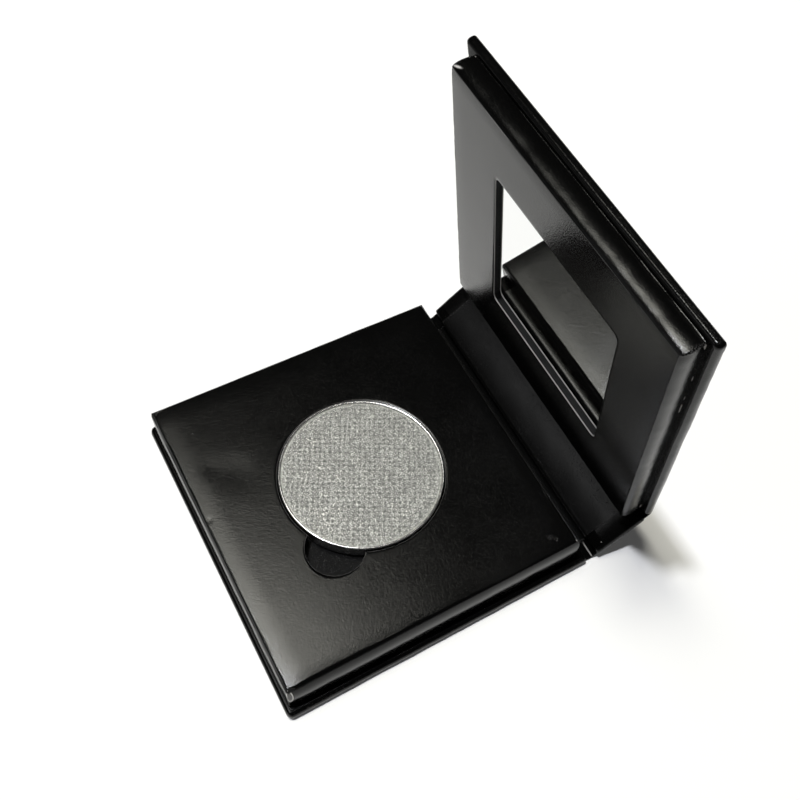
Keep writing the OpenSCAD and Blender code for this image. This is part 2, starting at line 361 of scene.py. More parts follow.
def mirror():
    g = Graph("mirror_glass", rest=False)
    haze = g.noise(0.12, 4, 0.6)
    dot = g.cells(0.2, "Distance")
    speck = g.math("LESS_THAN", dot, 0.012)
    tone = g.mix(speck, (0.90, 0.91, 0.91, 1), grey(0.5))
    roughness = g.math("ADD", g.ramp(haze, 0.35, 0.75, 0.012, 0.05), g.math("MULTIPLY", speck, 0.4))
    return g.finish(Base_Color=tone, Metallic=1.0, Roughness=roughness)


def foam():
    g = Graph("foam_tape", rest=False)
    cells = g.cells(5.0, "Distance")
    return g.finish(Base_Color=g.mix(cells, grey(0.03), grey(0.07)), Roughness=0.9,
                    Normal=g.bump(cells, 0.8, 0.1))


def magnet():
    g = Graph("magnet", rest=False)
    grain = g.noise(3.0, 4, 0.6)
    return g.finish(Base_Color=g.mix(grain, grey(0.20), grey(0.36)), Metallic=0.9,
                    Roughness=g.ramp(grain, 0.3, 0.7, 0.32, 0.5), Normal=g.bump(grain, 0.2, 0.03))


def steel():
    g = Graph("steel_plate", rest=False)
    brushed = g.noise(1.0, 3, 0.6, at=g.stretch((9.0, 0.4, 0.4)))
    return g.finish(Base_Color=g.mix(brushed, grey(0.48), grey(0.62)), Metallic=1.0,
                    Roughness=g.ramp(brushed, 0.3, 0.7, 0.25, 0.42), Normal=g.bump(brushed, 0.2, 0.03))


WRAP = paper("wrap_paper", 0.0016, 0.125, 0.75, 1)
# a darker copy of the wrap paper that hardly reflects: painted shade for the turned-in ledges
SHADED_TURN_IN = paper("wrap_paper_turn_in_painted_shade", 0.0012, 0.2, 0.3, 3, 1.12)
LINER = paper("liner_paper", 0.002, 0.19, 0.30, 2)
MATERIALS = {"wrap_paper": WRAP, "liner_paper": LINER, "greyboard": greyboard(), "black_core": black_core(),
             "floor_sheet": floor_sheet(), "tinplate": tinplate(), "pigment": pigment(),
             "mirror_glass": mirror(), "foam_tape": foam(), "magnet": magnet(), "steel_plate": steel()}

for row in frame["record"]["subparts"]:
    node = frame["nodes"][row["node"]]
    if not node.material_slots:
        node.data.materials.append(None)
    for held in node.material_slots:
        held.link = "OBJECT"
        held.material = MATERIALS[row["material_slot"]]


# ---------------------------------------------------------------- the cover, in two lengths
# the paper's inner face at a board's hinge edge: distance from the crease, height above the outer face
SHOULDER = [(1.40, 0.60), (1.62, 0.62), (1.78, 0.72), (1.87, 0.95), (1.91, 1.30), (1.93, 1.65),
            (1.97, 1.92), (2.05, 2.10), (2.18, 2.21), (2.38, 2.27), (2.70, 2.30)]
FLAT_COLS, ARC, END_RINGS, CREASE_RINGS = 60, 9, 15, 9
# the inner rolls of a cover's long edges: width on the right and on the left, and height
INNER_ROLL = (1.1, 0.9, 1.15)
COVER_CORNER, LID_CORNER, END_ROLL, END_LENGTH = 1.3, 0.8, 0.8, 2.0


def ring(outer, inner, half, r, sag=0.0):
    """Closed section across X between two points of the profile: round outside, rolled inside.

    sag is how far the inner face sinks towards the edges, over the turned-in paper."""
    rise = np.array(inner) - np.array(outer)
    thick = np.linalg.norm(rise)
    r = min(r, thick * 0.5)
    widths = [min(v, thick * 0.85) for v in INNER_ROLL[:2]]
    height = min(INNER_ROLL[2], thick - r)
    flat = np.linspace(-1, 1, FLAT_COLS) * (half - r)
    turn = np.linspace(-math.pi / 2, 0, ARC)[1:]
    low = np.stack([half - r + r * np.cos(turn), r + r * np.sin(turn)], 1)
    turn = np.linspace(0, math.pi / 2, ARC)[:-1]
    right, left = (np.concatenate([low, np.stack([half - width + width * np.cos(turn),
                                                  thick - height + height * np.sin(turn)], 1)])
                   for width in widths)
    top = np.linspace(half - widths[0], widths[1] - half, FLAT_COLS)
    section = np.concatenate([np.stack([flat, 0 * flat], 1), right, np.stack([top, 0 * top + thick], 1),
                              left[::-1] * (-1, 1)])
    over_turn_in = np.clip((np.abs(section[:, 0]) - half + TURN_IN) / TURN_IN, 0, 1)
    section[:, 1] -= sag * over_turn_in ** 1.5 * section[:, 1] / thick
    yz = np.array(outer) + section[:, 1:2] * (rise / thick)
    return np.concatenate([section[:, :1], yz], 1)


def rounding(r, d):
    """How far a round edge of radius r lies back at the distance d from its end."""
    return r * (1 - math.sqrt(max(1 - max(1 - d / r, 0) ** 2, 0)))


def free_end(place, inset=0.0, corner=COVER_CORNER):
    """Rings of a cover from its free edge inwards, softly rounded."""
    rings = []
    length = COVER_L - inset
    for a in np.linspace(0, math.pi / 2, END_RINGS):
        d = END_LENGTH * (1 - math.cos(a))
        thin = rounding(EDGE_R, d)
        outer = place(length - d, inset + thin * 0.8)
        inner = place(length - d, CASE_T - inset - rounding(END_ROLL, d))
        half = COVER_HALF - inset - rounding(corner, d)
        rings.append(ring(outer, inner, half, max((EDGE_R - thin) * 0.8, 0.05)))
    return rings


def board_rings(place, stops, sag=0.0, inset=0.0):
    """Rings over the flat of a board."""
    return [ring(place(s, inset), place(s, CASE_T - inset), COVER_HALF - inset, EDGE_R - inset, sag=sag)
            for s in stops]


def shoulder_rings(place, points, sag=0.0):
    """Rings down a board's hinge edge to the folded paper, a little narrower where it is thin."""
    out = []
    for s, z in points:
        full = smooth((z - FOLD_T) / (CASE_T - FOLD_T))
        out.append(ring(place(s, 0.0), place(s, z), COVER_HALF - 0.35 * (1 - full), EDGE_R, sag * full))
    return out


def crease_rings(centre, before, fold):
    """The rolled paper round a crease, from the direction before to before + fold."""
    out = []
    for a in np.linspace(0, fold, CREASE_RINGS):
        outer = on_circle(centre, CREASE_R, before - math.pi / 2 + a)
        inner = on_circle(centre, FOLD_INNER_R, before + math.pi / 2 + fold / 2 + (a - fold / 2) * 0.25)
        out.append(ring(outer, inner, COVER_HALF - 0.37, EDGE_R))
    return out


def capped_net(rows, cols):
    """Quads of the rings, and one face over each end."""
    first = list(range(cols))
    last = [(rows - 1) * cols + c for c in first]
    return net(rows, cols) + [last, first[::-1]]


def cover_length(rings, seed, puff):
    """The rings with the paper's unevenness, and its wear and bare marks.

    puff is how far the corner of the free edge on the left is pushed out."""
    grid = np.array(rings)
    n = normals_of(grid)
    if ((grid - grid.mean(axis=1, keepdims=True)) * n).sum() < 0:
        n = -n
    x, z = grid[..., 0], grid[..., 2]
    top = z.max()
    # the paper over the round edges is a little uneven, the flats hardly
    at_edge = smooth((np.abs(x) - (COVER_HALF - 1.6)) / 1.2)
    lift = 0.045 * waves(grid, 8, seed) * at_edge + 0.015 * waves(grid, 26, seed + 1)
    lift += 0.018 * waves(grid, 3.2, seed + 2) * at_edge
    lift -= 0.03
    lift[:2] = lift[-2:] = 0
    wear = 0.26 * at_edge * smooth(0.5 + 0.8 * waves(grid, 11, seed + 3))
    grid = grid + n * lift[..., None]
    # worn light where the paper folds at the base crease's right end
    off = np.hypot(grid[..., 1] - HINGE_Y, grid[..., 2] - CREASE_R - FOLD_INNER_R)
    bare = 0.8 * smooth(1.3 - off / 0.07) * smooth((x - 34.4 + COVER_X) / 0.6)
    # the lid's far corner is puffed out where its paper is folded in
    far = np.hypot(x + COVER_HALF, z - top)
    grid[..., 0] -= puff * np.exp(-(far / 7.0) ** 2) * smooth(-x / COVER_HALF)
    return grid, wear, bare


def build_cover(name, rings, replaced, seed, puff=0.0):
    grid, wear, bare = cover_length(rings, seed, puff)
    rows, cols = grid.shape[:2]
    obj = make(name, grid.reshape(-1, 3) + (COVER_X, 0, 0), capped_net(rows, cols), WRAP, sharp=50,
               wear=wear.ravel(), bare=bare.ravel())
    # the inner flat of each ring is turned-in paper, but for the rolled free edge; it takes a darker copy of
    # the wrap paper that hardly reflects, painted shade on the ledges
    obj.data.materials.append(SHADED_TURN_IN)
    row, column = np.divmod(np.arange((rows - 1) * cols), cols)
    first = FLAT_COLS + 2 * (ARC - 1)
    inner = (column >= first) & (column < first + FLAT_COLS - 1) & (row > 4) & (row < rows - 6)
    obj.data.polygons.foreach_set("material_index", np.concatenate([inner, [False, False]]).astype(np.int32))
    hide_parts(*replaced)
    across(obj)


def build_board(name, rings, body):
    """A cover's board, fitted inside its paper."""
    grid = np.array(rings)
    obj = make(name, grid.reshape(-1, 3) + (COVER_X, 0, 0), capped_net(*grid.shape[:2]),
               MATERIALS["greyboard"], sharp=50)
    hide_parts(name.replace("_core", "_board"))
    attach(obj, body)


def across(obj):
    """Bakes the placing of obj, which lies across a crease between two bodies, into its mesh."""
    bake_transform(obj)


SPINE_SAG = 0.55
FLAT_FROM, STOPS = 2.9, 22
board_stops = np.linspace(COVER_L - END_LENGTH - 0.5, FLAT_FROM + 0.2, 64)
near = [(s, FOLD_T) for s in (1.1, 0.8, 0.5, 0.25)]
half_spine = np.linspace(FLAT_FROM + 0.2, SPINE_W / 2, 8)

rings = free_end(in_base) + board_rings(in_base, board_stops)
rings += shoulder_rings(in_base, SHOULDER[::-1] + near)
rings += crease_rings(CREASE_1, 0.0, TILT)
rings += shoulder_rings(in_spine, near[::-1] + SHOULDER, SPINE_SAG)
rings += board_rings(in_spine, half_spine, SPINE_SAG)
build_cover("cover_wrap_base", rings,
            ("base_wrap", "spine_wrap"), 11)

rings = board_rings(in_spine_back, half_spine[::-1], SPINE_SAG)
rings += shoulder_rings(in_spine_back, SHOULDER[::-1] + near, SPINE_SAG)
rings += crease_rings(CREASE_2, TILT, FOLD)
rings += shoulder_rings(in_lid, near[::-1] + SHOULDER)
rings += board_rings(in_lid, board_stops[::-1]) + free_end(in_lid, corner=LID_CORNER)[::-1]
build_cover("cover_wrap_lid", rings,
            ("spine_wrap", "lid_wrap"), 23, puff=1.6)

BOARD_INSET, BOARD_FROM = PAPER_T + 0.05, 2.7
core_stops = np.linspace(COVER_L - END_LENGTH - 0.5, BOARD_FROM, 30)
spine_stops = np.linspace(BOARD_FROM, SPINE_W - BOARD_FROM, 12)
rings = free_end(in_base, BOARD_INSET) + board_rings(in_base, core_stops, inset=BOARD_INSET)
build_board("base_core", rings, "base")
build_board("spine_core", board_rings(in_spine, spine_stops, SPINE_SAG, BOARD_INSET), "spine")
rings = free_end(in_lid, BOARD_INSET, LID_CORNER) + board_rings(in_lid, core_stops, inset=BOARD_INSET)
build_board("lid_core", rings, "lid")


# ---------------------------------------------------------------- the lining, in two lengths
def liner_path(place_a, place_b, crease, before, fold, far_a, far_b, lift_a, lift_b):
    """Points of the inner face from far_a on one side of a crease to far_b on the other."""
    a = [place_a(s, CASE_T + lift_a(s)) for s in np.linspace(far_a, FLAT_FROM, STOPS, endpoint=False)]
    a += [place_a(s, z + lift_a(s)) for s, z in SHOULDER[::-1]] + [place_a(s, FOLD_T) for s in (1.1, 0.7)]
    up = before + math.pi / 2 + fold / 2
    mid = [on_circle(crease, FOLD_INNER_R, up + turn) for turn in (-0.12, 0, 0.12)]
    b = [place_b(s, FOLD_T) for s in (0.7, 1.1)] + [place_b(s, z + lift_b(s)) for s, z in SHOULDER]
    b += [place_b(s, CASE_T + lift_b(s)) for s in np.linspace(FLAT_FROM, far_b, STOPS)]
    return np.array(a + mid + b)


def build_liner(name, path, replaced, seed):
    """A strip of lining along the path, its cut edges turned down on to the wrap."""
    half, cols, face_lift = COVER_HALF - TURN_IN - LINER_CLEAR, 40, 0.06
    along = np.gradient(path, axis=0)
    up = unit(np.stack([-along[:, 1], along[:, 0]], 1))
    x = np.concatenate([[-half, -half], np.linspace(-half, half, cols), [half, half]])
    lift = np.concatenate([[-0.05, 0.03], np.full(cols, face_lift), [0.03, -0.05]])
    grid = np.zeros((len(path), len(x), 3))
    grid[..., 0] = x
    grid[..., 1:] = path[:, None] + up[:, None] * lift[None, :, None]
    bow = 0.02 * waves(grid, 9, seed) * (lift > 0.05)
    grid[..., 1:] += up[:, None] * bow[..., None]
    edge = smooth((np.abs(grid[..., 0]) - half + 0.5) / 0.5) * 0.35
    faces = net(*grid.shape[:2], close_cols=False)
    obj = make(name, grid.reshape(-1, 3) + (COVER_X, 0, 0), faces, LINER, sharp=60, wear=edge.ravel())
    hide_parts(*replaced)
    across(obj)


def flat(s):
    """The lining lies on the board."""
    return 0.0


def low_gutter(s):
    """The lining stands off the spine's board towards the base crease."""
    return 0.42 * max(0.0, (9.0 - s) / 6.5) ** 2 * smooth((s - 1.2) / 1.3)


def high_gutter(s):
    """The same towards the lid crease, over a shorter length."""
    return 0.34 * max(0.0, (4.6 - s) / 2.4) ** 2 * smooth((s - 1.2) / 1.3)


# how far the lining reaches under the tray and under the frame
UNDER_TRAY, UNDER_FRAME = 9.0, 7.0
path = liner_path(in_base, in_spine, CREASE_1, 0.0, TILT, UNDER_TRAY, SPINE_W / 2, flat, low_gutter)
build_liner("lining_base", path, ("base_liner", "spine_liner"), 31)
path = liner_path(in_spine_back, in_lid, CREASE_2, TILT, FOLD, SPINE_W / 2, UNDER_FRAME, high_gutter, flat)
build_liner("lining_lid", path, ("spine_liner", "lid_liner"), 37)


# ---------------------------------------------------------------- wrapped blocks
SIDE, CORNER = 260, 14


def outline():
    """Samples round a square with round corners: corner centre signs and outward normals.

    They lie closer together towards the corners."""
    signs, normals = [], []
    corners = ((1, 1), (-1, 1), (-1, -1), (1, -1))
    for k, (sx, sy) in enumerate(corners):
        start, end = k * math.pi / 2, (k + 1) * math.pi / 2
        for a in np.linspace(0, math.pi / 2, CORNER):
            signs.append((sx, sy))
            normals.append((math.cos(start + a), math.sin(start + a)))
        next_x, next_y = corners[(k + 1) % 4]
        for share in 0.5 - 0.5 * np.cos(np.linspace(0, math.pi, SIDE + 2)[1:-1]):
            signs.append((sx + (next_x - sx) * share, sy + (next_y - sy) * share))
            normals.append((math.cos(end), math.sin(end)))
    return np.array(signs), np.array(normals)


SIGNS, NORMALS = outline()
COUNT = len(SIGNS)


def round_rect(half_w, half_l, r):
    """The outline's points for a rectangle of these half sizes and this corner radius."""
    r = max(r, 0.03)
    return SIGNS * (half_w - r, half_l - r) + NORMALS * r


def well_outline(targets, grow=0.0):
    """Points of the well and notch outline in the directions of the targets."""
    d = targets - np.array(WELL)
    angle = np.arctan2(d[:, 1], d[:, 0]) - NOTCH_ANGLE
    angle = (angle + math.pi) % (2 * math.pi) - math.pi
    cusp = math.acos((WELL_R ** 2 + NOTCH_AT ** 2 - NOTCH_R ** 2) / (2 * WELL_R * NOTCH_AT))
    for side in (-1, 1):
        angle[np.argmin(np.abs(angle - side * cusp))] = side * cusp
    r_n = NOTCH_R + grow
    inside = np.maximum(r_n ** 2 - (NOTCH_AT * np.sin(angle)) ** 2, 0)
    notch = np.where(np.abs(angle) < math.pi / 3, NOTCH_AT * np.cos(angle) + np.sqrt(inside), 0)
    notch = np.where((NOTCH_AT * np.sin(angle)) ** 2 < r_n ** 2, notch, 0)
    r = np.maximum(WELL_R + grow, notch)
    a = angle + NOTCH_ANGLE
    return np.array(WELL) + np.stack([np.cos(a), np.sin(a)], 1) * r[:, None]


SIDES = ("right", "left", "back", "front")
# share of each side in a point of the outline: round corners pass from one side to the next
SHARE = {"right": NORMALS[:, 0].clip(0) ** 2, "left": NORMALS[:, 0].clip(max=0) ** 2,
         "back": NORMALS[:, 1].clip(0) ** 2, "front": NORMALS[:, 1].clip(max=0) ** 2}


def four_sided(half_w, half_l, insets, r):
    """The outline's points with its own inset on each side."""
    r = np.maximum(r, 0.03)
    x = np.where(SIGNS[:, 0] > 0, half_w - insets["right"], half_w - insets["left"]) - r
    y = np.where(SIGNS[:, 1] > 0, half_l - insets["back"], half_l - insets["front"]) - r
    return SIGNS * np.stack([x, y], 1) + NORMALS * r


def block(name, hole, hole_top, half_w, half_l, centre, z0, z1, rolls, seed, place=None, body="base",
          replaced=(), dents=(), worn=(), bare=(), deck_rows=44, sink=None, marks=None):
    """A wrapped block: cut edge of the hole, deck, rolled upper edges, sides and a turned-in foot.

    rolls gives each side its roll's width and height, how far it swells out, and how far its foot draws in.
    sink gives each side how deep the paper sinks towards it, and over what width. dents and worn are
    (x, y, size, amount) about the centre of the deck, bare is (x, y, z, size, amount), and marks is a
    function that adds its own."""
    shift = np.array(centre)
    rows, kinds = [], []
    roll = {side: [np.broadcast_to(v, COUNT) for v in rolls[side]] for side in SIDES}
    radius = 0.75 * BLOCK_CORNER_R

    def row(xy, z, kind):
        rows.append(np.column_stack([xy, np.broadcast_to(z, COUNT)]))
        kinds.append(kind)

    for depth in (PAPER_T, PAPER_T / 2, 0.03):
        row(hole, z1 - depth, "cut")
    row(hole_top, z1, "lip")
    deck_inset = {side: roll[side][0] - roll[side][2] for side in SIDES}
    inner = four_sided(half_w, half_l, deck_inset, 0.0) + shift
    for t in np.linspace(0, 1, deck_rows)[1:]:
        row(hole_top + (inner - hole_top) * (1 - (1 - t) ** 1.25), z1, "deck")
    for a in np.linspace(0, math.pi / 2, 20)[1:]:
        insets = {side: roll[side][0] * (1 - math.sin(a)) - roll[side][2] for side in SIDES}
        drop = sum(SHARE[side] * roll[side][1] for side in SIDES) * (1 - math.cos(a))
        row(four_sided(half_w, half_l, insets, radius * math.sin(a)) + shift, z1 - drop, "round")
    start = rows[-1][:, 2]
    for t in np.linspace(0, 1, 13)[1:]:
        insets = {side: roll[side][3] * t ** 2 - roll[side][2] for side in SIDES}
        row(four_sided(half_w, half_l, insets, radius) + shift, start + (z0 - start) * t, "side")
    insets = {side: roll[side][3] - roll[side][2] + 0.4 for side in SIDES}
    row(four_sided(half_w, half_l, insets, radius) + shift, z0, "foot")
    grid = np.array(rows)
    kinds = np.array(kinds)
    n = normals_of(grid)
    if n[kinds == "deck"][..., 2].mean() < 0:
        n = -n
    # the sides' lifts keep their heights
    n[kinds == "side", :, 2] = 0
    x, y = grid[..., 0] - centre[0], grid[..., 1] - centre[1]
    off_side = {"right": half_w - x, "left": half_w + x, "back": half_l - y, "front": half_l + y}
    off_hole = np.linalg.norm(grid[..., :2] - hole_top[None], axis=-1)
    top = np.isin(kinds, ("deck", "lip"))[:, None]
    rounded = (kinds == "round")[:, None]
    side = (kinds == "side")[:, None]
    skin = top | rounded | side
    lift = np.zeros(x.shape)
    # the glued paper sinks towards the rolled edges, and the sides below them move in with it
    for key, (depth, reach) in sink.items():
        lift -= depth * np.clip(1 - (off_side[key] - deck_inset[key]) / reach, 0, 1) ** 2 * skin
    lift += (0.012 * waves(grid, 30, seed) + 0.003 * waves(grid, 9, seed + 1)) * top * smooth(off_hole / 3)
    lift += (0.035 * waves(grid, 13, seed + 2) + 0.016 * waves(grid, 4.2, seed + 3)) * (rounded | side)
    for cx, cy, size, depth in dents:
        far = np.hypot(x - cx, y - cy) / size
        lift -= depth * np.exp(-far ** 2 * 1.6) * top
    lift[kinds == "foot"] = 0
    grid = grid + n * lift[..., None]
    wear = 0.16 * (rounded | side) * smooth(0.35 + 0.8 * waves(grid, 10, seed + 5))
    wear = wear * smooth(1 - np.abs(grid[..., 2] - (z1 - 0.5)) / 1.6)
    corner = np.hypot(half_w - np.abs(x), half_l - np.abs(y))
    wear = wear + 0.45 * np.exp(-(corner / 1.1) ** 2) * (rounded | side)
    for cx, cy, size, amount in worn:
        far = np.hypot(x - cx, y - cy) / size
        wear = np.maximum(wear, amount * np.exp(-far ** 2 * 1.5) * (top | rounded))
    cut = np.repeat((kinds == "cut")[:, None].astype(float), COUNT, axis=1)
    bared = np.zeros(x.shape)
    for cx, cy, cz, size, amount in bare:
        far = np.sqrt((x - cx) ** 2 + (y - cy) ** 2 + (grid[..., 2] - cz) ** 2) / size
        bared = np.maximum(bared, amount * smooth(1.6 - far))
    if marks is not None:
        cut, bared = marks(x, y, grid[..., 2], cut, bared)
    points = grid.reshape(-1, 3)
    faces = net(*grid.shape[:2])
    if place is not None:
        points = np.concatenate([points[:, :1], place(points[:, 1], points[:, 2])], 1)
        faces = [f[::-1] for f in faces]
    obj = make(name, points, faces, WRAP, sharp=48, wear=wear.ravel(), cut=cut.ravel(), bare=bared.ravel())
    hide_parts(*replaced)
    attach(obj, body)


def lens(x, y, z, start, end, width):
    """Distance from a slim ellipse between two points, 1 on its rim."""
    start, end = np.array(start), np.array(end)
    axis = end - start
    length = np.linalg.norm(axis)
    off = np.stack([x, y, z], -1) - (start + end) / 2
    along = off @ (axis / length)
    aside = np.sqrt(np.maximum((off ** 2).sum(-1) - along ** 2, 0))
    return np.hypot(along / (length / 2), aside / width)


def leaf(x, y, z, cut, bared):
    """The bare board where the wrap has opened at the front right corner: grey inside, pale torn rim."""
    far = lens(x, y, z, (35.3, -34.6, 10.2), (36.5, -34.3, 5.9), 0.85)
    rim = smooth(1 - np.abs(far - 0.88) / 0.15)
    return np.maximum(cut, 0.35 * smooth((0.9 - far) / 0.1)), np.maximum(bared, rim)


def fold(x, y, z, cut, bared):
    """A worn crease in the paper at the frame's far left corner, made pale as a painted highlight."""
    far = lens(x, y, z, (-35.5, FRAME_L / 2 - 0.3, 6.9), (-33.4, FRAME_L / 2 + 0.1, 6.0), 0.28)
    return cut, np.maximum(bared, 0.75 * smooth(1.3 - far))


LIP = 0.04
edge = round_rect(TRAY_W / 2, TRAY_L / 2, BLOCK_CORNER_R)
# the roll along the tray's right side widens towards the front
right_roll = 1.45 + 0.55 * np.clip((19 - SIGNS[:, 1] * TRAY_L / 2) / 40, 0, 1.2)
block("tray_skin", well_outline(edge), well_outline(edge, LIP), TRAY_W / 2, TRAY_L / 2, (0, 0), CASE_T, DECK,
      {"right": (right_roll, 4.3, 0.8, 0.0), "left": (1.3, 3.2, 0.25, 0.0), "front": (1.1, 2.6, 0.14, 0.0),
       "back": (1.0, 2.0, 0.0, 0.0)},
      41, replaced=("tray_wrap",),
      dents=((-14, -24.5, 5.5, 0.09), (-17, -29, 3.0, 0.05), (-5.2, -33.4, 0.8, 0.05)),
      sink={"right": (0.10, 3.0), "left": (0.14, 5.0), "front": (0.17, 4.6), "back": (0.10, 5.0)},
      worn=((31.9, 29.3, 1.2, 0.50), (32.9, 30.3, 0.9, 0.56), (-26.2, -28.7, 0.3, 0.8)),
      bare=((35.3, 34.4, 9.95, 0.24, 0.9),), marks=leaf)

WINDOW_Y = HINGE_Y - WELL[1]
window = round_rect(WINDOW / 2, WINDOW / 2, WINDOW_R) + (WINDOW_X, WINDOW_Y)
window_top = round_rect(WINDOW / 2 + LIP, WINDOW / 2 + LIP, WINDOW_R + LIP) + (WINDOW_X, WINDOW_Y)
# the fold marks add a painted highlight on the worn crease at the frame's far left corner
block("frame_skin", window, window_top, TRAY_W / 2, FRAME_L / 2, (FRAME_X, FRAME_FOOT + FRAME_L / 2), CASE_T,
      FRAME_TOP,
      {"right": (1.15, 2.3, 0.12, 0.32), "left": (0.5, 2.0, 0.1, 0.2), "back": (0.95, 3.0, 0.12, 0.24),
       "front": (1.0, 1.6, 0.0, 0.0)},
      53, place=in_lid, body="lid", replaced=("frame_wrap",), deck_rows=30,
      sink={"right": (0.08, 4.0), "left": (0.10, 4.0), "back": (0.12, 3.0), "front": (0.08, 4.0)},
      bare=((TRAY_W / 2 + 0.2, 26.7 - FRAME_FOOT - FRAME_L / 2, 4.8, 0.16, 0.9),), marks=fold)


# ---------------------------------------------------------------- pan and pigment
PAN_SEGMENTS, OUT_OF_ROUND = 288, 0.0012


def pan_profile():
    """Radius and height from the floor's middle, up the outside, over the bead and down the inside."""
    top = PAN_FLOOR + PAN_H
    out_r = PAN_R - BEAD_R / 4
    in_r = out_r - PAN_WALL
    pts = [(0.3, PAN_FLOOR)]
    pts += [(r, PAN_FLOOR) for r in (4, 9, 13.5, 16.2)]
    pts += [(out_r - PAN_CORNER + PAN_CORNER * math.sin(a), PAN_FLOOR + PAN_CORNER * (1 - math.cos(a)))
            for a in np.linspace(0, math.pi / 2, 9)]
    pts += [(out_r - 0.01, z) for z in np.linspace(PAN_FLOOR + 1.3, top - 2 * BEAD_R - 0.25, 6)]
    pts += [(out_r - 0.03, top - 2 * BEAD_R - 0.06)]
    centre = (PAN_R - BEAD_R, top - BEAD_R)
    pts += [(centre[0] + BEAD_R * math.cos(a), centre[1] + BEAD_R * math.sin(a))
            for a in np.linspace(-0.9, math.pi + 0.5, 16)]
    pts += [(in_r - 0.02, z) for z in np.linspace(top - 2 * BEAD_R, top - 1.2, 4)]
    return pts


angle = np.linspace(0, 2 * math.pi, PAN_SEGMENTS, endpoint=False)
profile = np.array(pan_profile())
r = profile[:, :1] * (1 + OUT_OF_ROUND * np.sin(2 * angle))
points = np.stack([WELL[0] + r * np.cos(angle), WELL[1] + r * np.sin(angle), profile[:, 1:] + 0 * r], -1)
pan = make("pan_shell", points.reshape(-1, 3), net(*r.shape), MATERIALS["tinplate"], sharp=60)
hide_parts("pan")
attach(pan, "pan")


def cake():
    """The pressed disc: linen emboss over the face, and a soft edge that stands clear of the wall."""
    rings, segs, edge_r, edge_h, rim_h = 150, 540, 0.35, 0.30, 0.9
    outer = PAN_R - BEAD_R / 4 - PAN_WALL - 0.06
    z_top = PAN_FLOOR + PAN_H - PIGMENT_DROP
    bend = np.linspace(0.2, math.pi / 2, 7)
    radii = np.concatenate([np.linspace(0.05, outer - edge_r, rings), outer - edge_r + edge_r * np.sin(bend),
                            [outer]])
    drop = np.concatenate([np.zeros(rings), edge_h * (1 - np.cos(bend)), [rim_h]])
    angle = np.linspace(0, 2 * math.pi, segs, endpoint=False)
    grid = np.zeros((len(radii), segs, 3))
    grid[..., 0] = radii[:, None] * np.cos(angle)
    grid[..., 1] = radii[:, None] * np.sin(angle)
    x, y = grid[..., 0], grid[..., 1]
    turn, pitch = math.radians(17), 0.78
    u = (x * math.cos(turn) + y * math.sin(turn) + 0.10 * waves(grid, 7, 61)) * math.pi / pitch
    v = (-x * math.sin(turn) + y * math.cos(turn) + 0.10 * waves(grid, 7, 62)) * math.pi / pitch
    warp = np.abs(np.sin(u)) ** 0.8 * (0.5 + 0.5 * np.cos(v + np.round(u / math.pi) * math.pi))
    weft = np.abs(np.sin(v)) ** 0.8 * (0.5 + 0.5 * np.cos(u + np.round(v / math.pi) * math.pi))
    linen = np.maximum(warp, weft) * (0.75 + 0.25 * waves(grid, 1.7, 63))
    face = smooth((outer - 0.25 - radii) / 0.6)[:, None]
    grid[..., 2] = z_top - drop[:, None] + (0.045 * (linen - 0.6) + 0.02 * waves(grid, 14, 64)) * face
    # painted shade, kept in the cut mark: darker where the emboss dips and at the disc's edge by the pan's
    # wall
    hollow_shade = np.clip(1.15 - linen * 1.4, 0, 1) * face
    hollow_shade = np.maximum(hollow_shade, smooth((radii - outer + 0.16) / 0.12)[:, None])
    grid[..., 0] += WELL[0]
    grid[..., 1] += WELL[1]
    faces = net(*grid.shape[:2])
    faces.append(list(range(segs))[::-1])
    obj = make("pigment_cake", grid.reshape(-1, 3), faces, MATERIALS["pigment"], sharp=70, cut=hollow_shade.ravel())
    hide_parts("pressed_pigment")
    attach(obj, "pan")


cake()


# ---------------------------------------------------------------- coarse floor under the notch
def grain_patch():
    n, half = 150, 7.2
    cx, cy = on_circle(WELL, NOTCH_AT, NOTCH_ANGLE)
    x, y = np.meshgrid(np.linspace(-half, half, n), np.linspace(-half, half, n))
    grid = np.stack([cx + x, cy + y, 0 * x], -1)
    rough = waves(grid, 0.55, 71, 24) + 0.6 * waves(grid, 0.3, 72, 24)
    grid[..., 2] = FLOOR_Z + 0.05 + 0.028 * np.clip(rough, -1.6, 1.8)
    faces = net(n, n, close_cols=False)
    obj = make("floor_grain", grid.reshape(-1, 3), faces, MATERIALS["floor_sheet"], sharp=80)
    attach(obj, "base")


grain_patch()


# ---------------------------------------------------------------- stage, lights, camera
def stage():
    """The white floor, which glows a little where it is seen directly, mirrored or through glass."""
    half, z = 3, -0.00005
    mesh = bpy.data.meshes.new("floor")
    corners = [(-half, -half, z), (half, -half, z), (half, half, z), (-half, half, z)]
    mesh.from_pydata(corners, [], [(0, 1, 2, 3)])
    g = Graph("floor_white")
    seen = g.math("MAXIMUM", g.add("LightPath", out="Is Camera Ray"), g.add("LightPath", out="Is Glossy Ray"))
    seen = g.math("MAXIMUM", seen, g.add("LightPath", out="Is Transmission Ray"))
    diffuse = g.add("BsdfDiffuse", {"Color": (0.93, 0.925, 0.915, 1)})
    glow = g.add("Emission", {"Color": (1, 1, 1, 1), "Strength": g.math("MULTIPLY", seen, 0.05)})
    mat = g.surface(g.add("AddShader", {0: diffuse, 1: glow}))
    mesh.materials.append(mat)
    obj = bpy.data.objects.new("floor", mesh)
    bpy.context.scene.collection.objects.link(obj)


stage()


